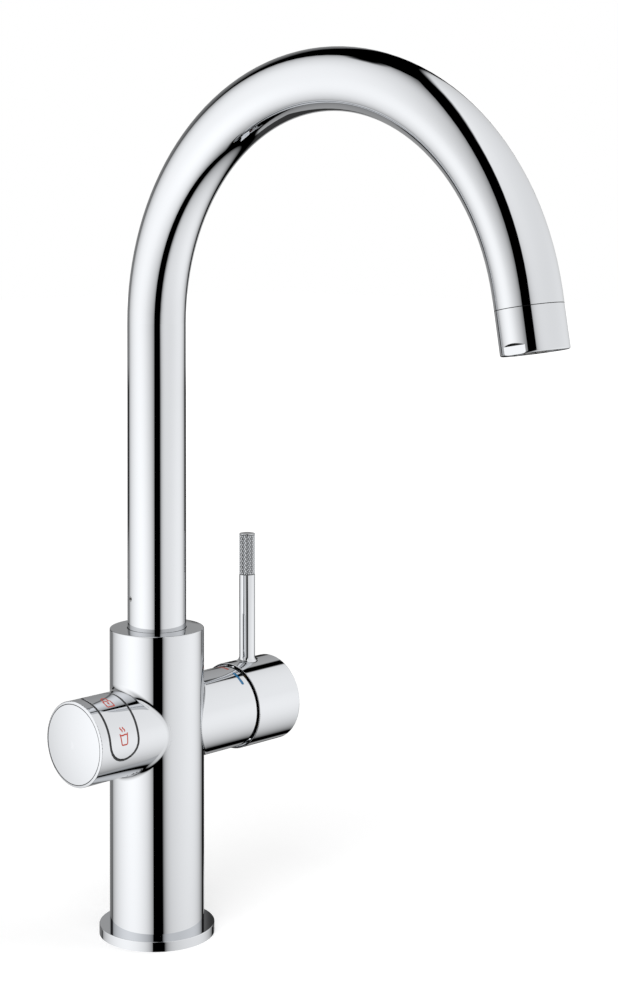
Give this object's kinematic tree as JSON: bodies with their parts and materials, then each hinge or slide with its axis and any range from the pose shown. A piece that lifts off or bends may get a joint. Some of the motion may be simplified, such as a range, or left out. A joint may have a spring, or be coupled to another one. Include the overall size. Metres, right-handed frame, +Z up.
{
  "type": "boiling water tap",
  "caption": "Deck-mounted kitchen tap with a swivelling arched spout, a push-button boiling water control on one side and a single-lever mixer on the other.",
  "frame": {"origin": "centre of the base on the worktop's top face, on the axis of the worktop hole", "axes": "+Z up out of the worktop; the spout points along -Y, towards the user; the mixer lies along +X and the boiling water control along -X"},
  "size_m": [0.1299, 0.2643, 0.4816],
  "materials": {
    "chrome": "polished chrome plate on cast and drawn brass",
    "brass": "turned brass, not plated",
    "steel": "plain stainless steel",
    "rubber": "black EPDM rubber",
    "black_plastic": "black moulded plastic",
    "white_plastic": "white acetal",
    "ceramic": "lapped alumina ceramic",
    "board_green": "green circuit board",
    "cold_blue": "blue enamel",
    "hot_red": "red enamel"
  },
  "bodies": {
    "tap": {"base_ring": "chrome", "base_seal": "rubber", "tap_body": "chrome", "spout_spigot": "brass", "spigot_seals": "rubber", "glide_rings": "white_plastic", "spout_washer": "white_plastic", "boiling_riser": "steel", "control_end_disc": "chrome", "end_disc_seal": "rubber", "button_frame": "black_plastic", "button_pin": "steel", "control_carrier": "black_plastic", "circuit_board": "board_green", "button_switches": "black_plastic", "cold_mark": "cold_blue", "hot_mark": "hot_red", "cartridge_base": "white_plastic", "cartridge_seals": "rubber", "fixed_disc": "ceramic", "cartridge_housing": "white_plastic", "cartridge_nut": "brass", "inlet_block": "brass", "inlet_block_seal": "rubber", "cable_grommet": "rubber", "shank": "brass", "under_seal": "rubber", "clamp_washer": "steel", "lock_nut": "brass", "jack_screws": "steel"},
    "spout": {"spout_tube": "chrome", "spout_screw": "steel", "outlet_sleeve": "chrome", "outlet_seal": "rubber", "jet_insert": "black_plastic", "boiling_nozzle": "steel", "boiling_tube": "steel", "tube_coupling": "brass", "coupling_seal": "rubber"},
    "button": {"button_panel": "chrome"},
    "mixer_rotor": {"cartridge_rotor": "white_plastic", "stem_pin": "steel"},
    "mixer_lever": {"mixer_cap": "chrome", "lever_rod": "chrome", "cap_screw": "steel", "cartridge_stem": "steel"},
    "flow_disc": {"moving_disc": "ceramic", "disc_carrier": "white_plastic"}
  },
  "joints": [
    {"name": "spout_swivel", "type": "hinge", "parent": "tap", "child": "spout", "pos_m": [0, 0, 0.15], "axis": [0, 0, 1], "range_deg": [-75, 75]},
    {"name": "button_rock", "type": "hinge", "parent": "tap", "child": "button", "pos_m": [-0.0375, -0.00781, 0.10706], "axis": [1, 0, 0], "range_deg": [-1.2, 1.2], "stiffness_Nm_per_rad": 0.05},
    {"name": "mixer_temperature", "type": "hinge", "parent": "tap", "child": "mixer_rotor", "pos_m": [0.03305, 0, 0.09925], "axis": [1, 0, 0], "range_deg": [-35, 65]},
    {"name": "mixer_flow", "type": "hinge", "parent": "mixer_rotor", "child": "mixer_lever", "pos_m": [0.03305, 0, 0.09925], "axis": [0, 1, 0], "range_deg": [0, 20]},
    {"name": "disc_slide", "type": "slide", "parent": "mixer_rotor", "child": "flow_disc", "axis": [0, 0, 1], "range_m": [0, 0.00287]}
  ],
  "couplings": [
    {"joint": "disc_slide", "follows": "mixer_flow", "m_per_rad": 0.0082}
  ]
}
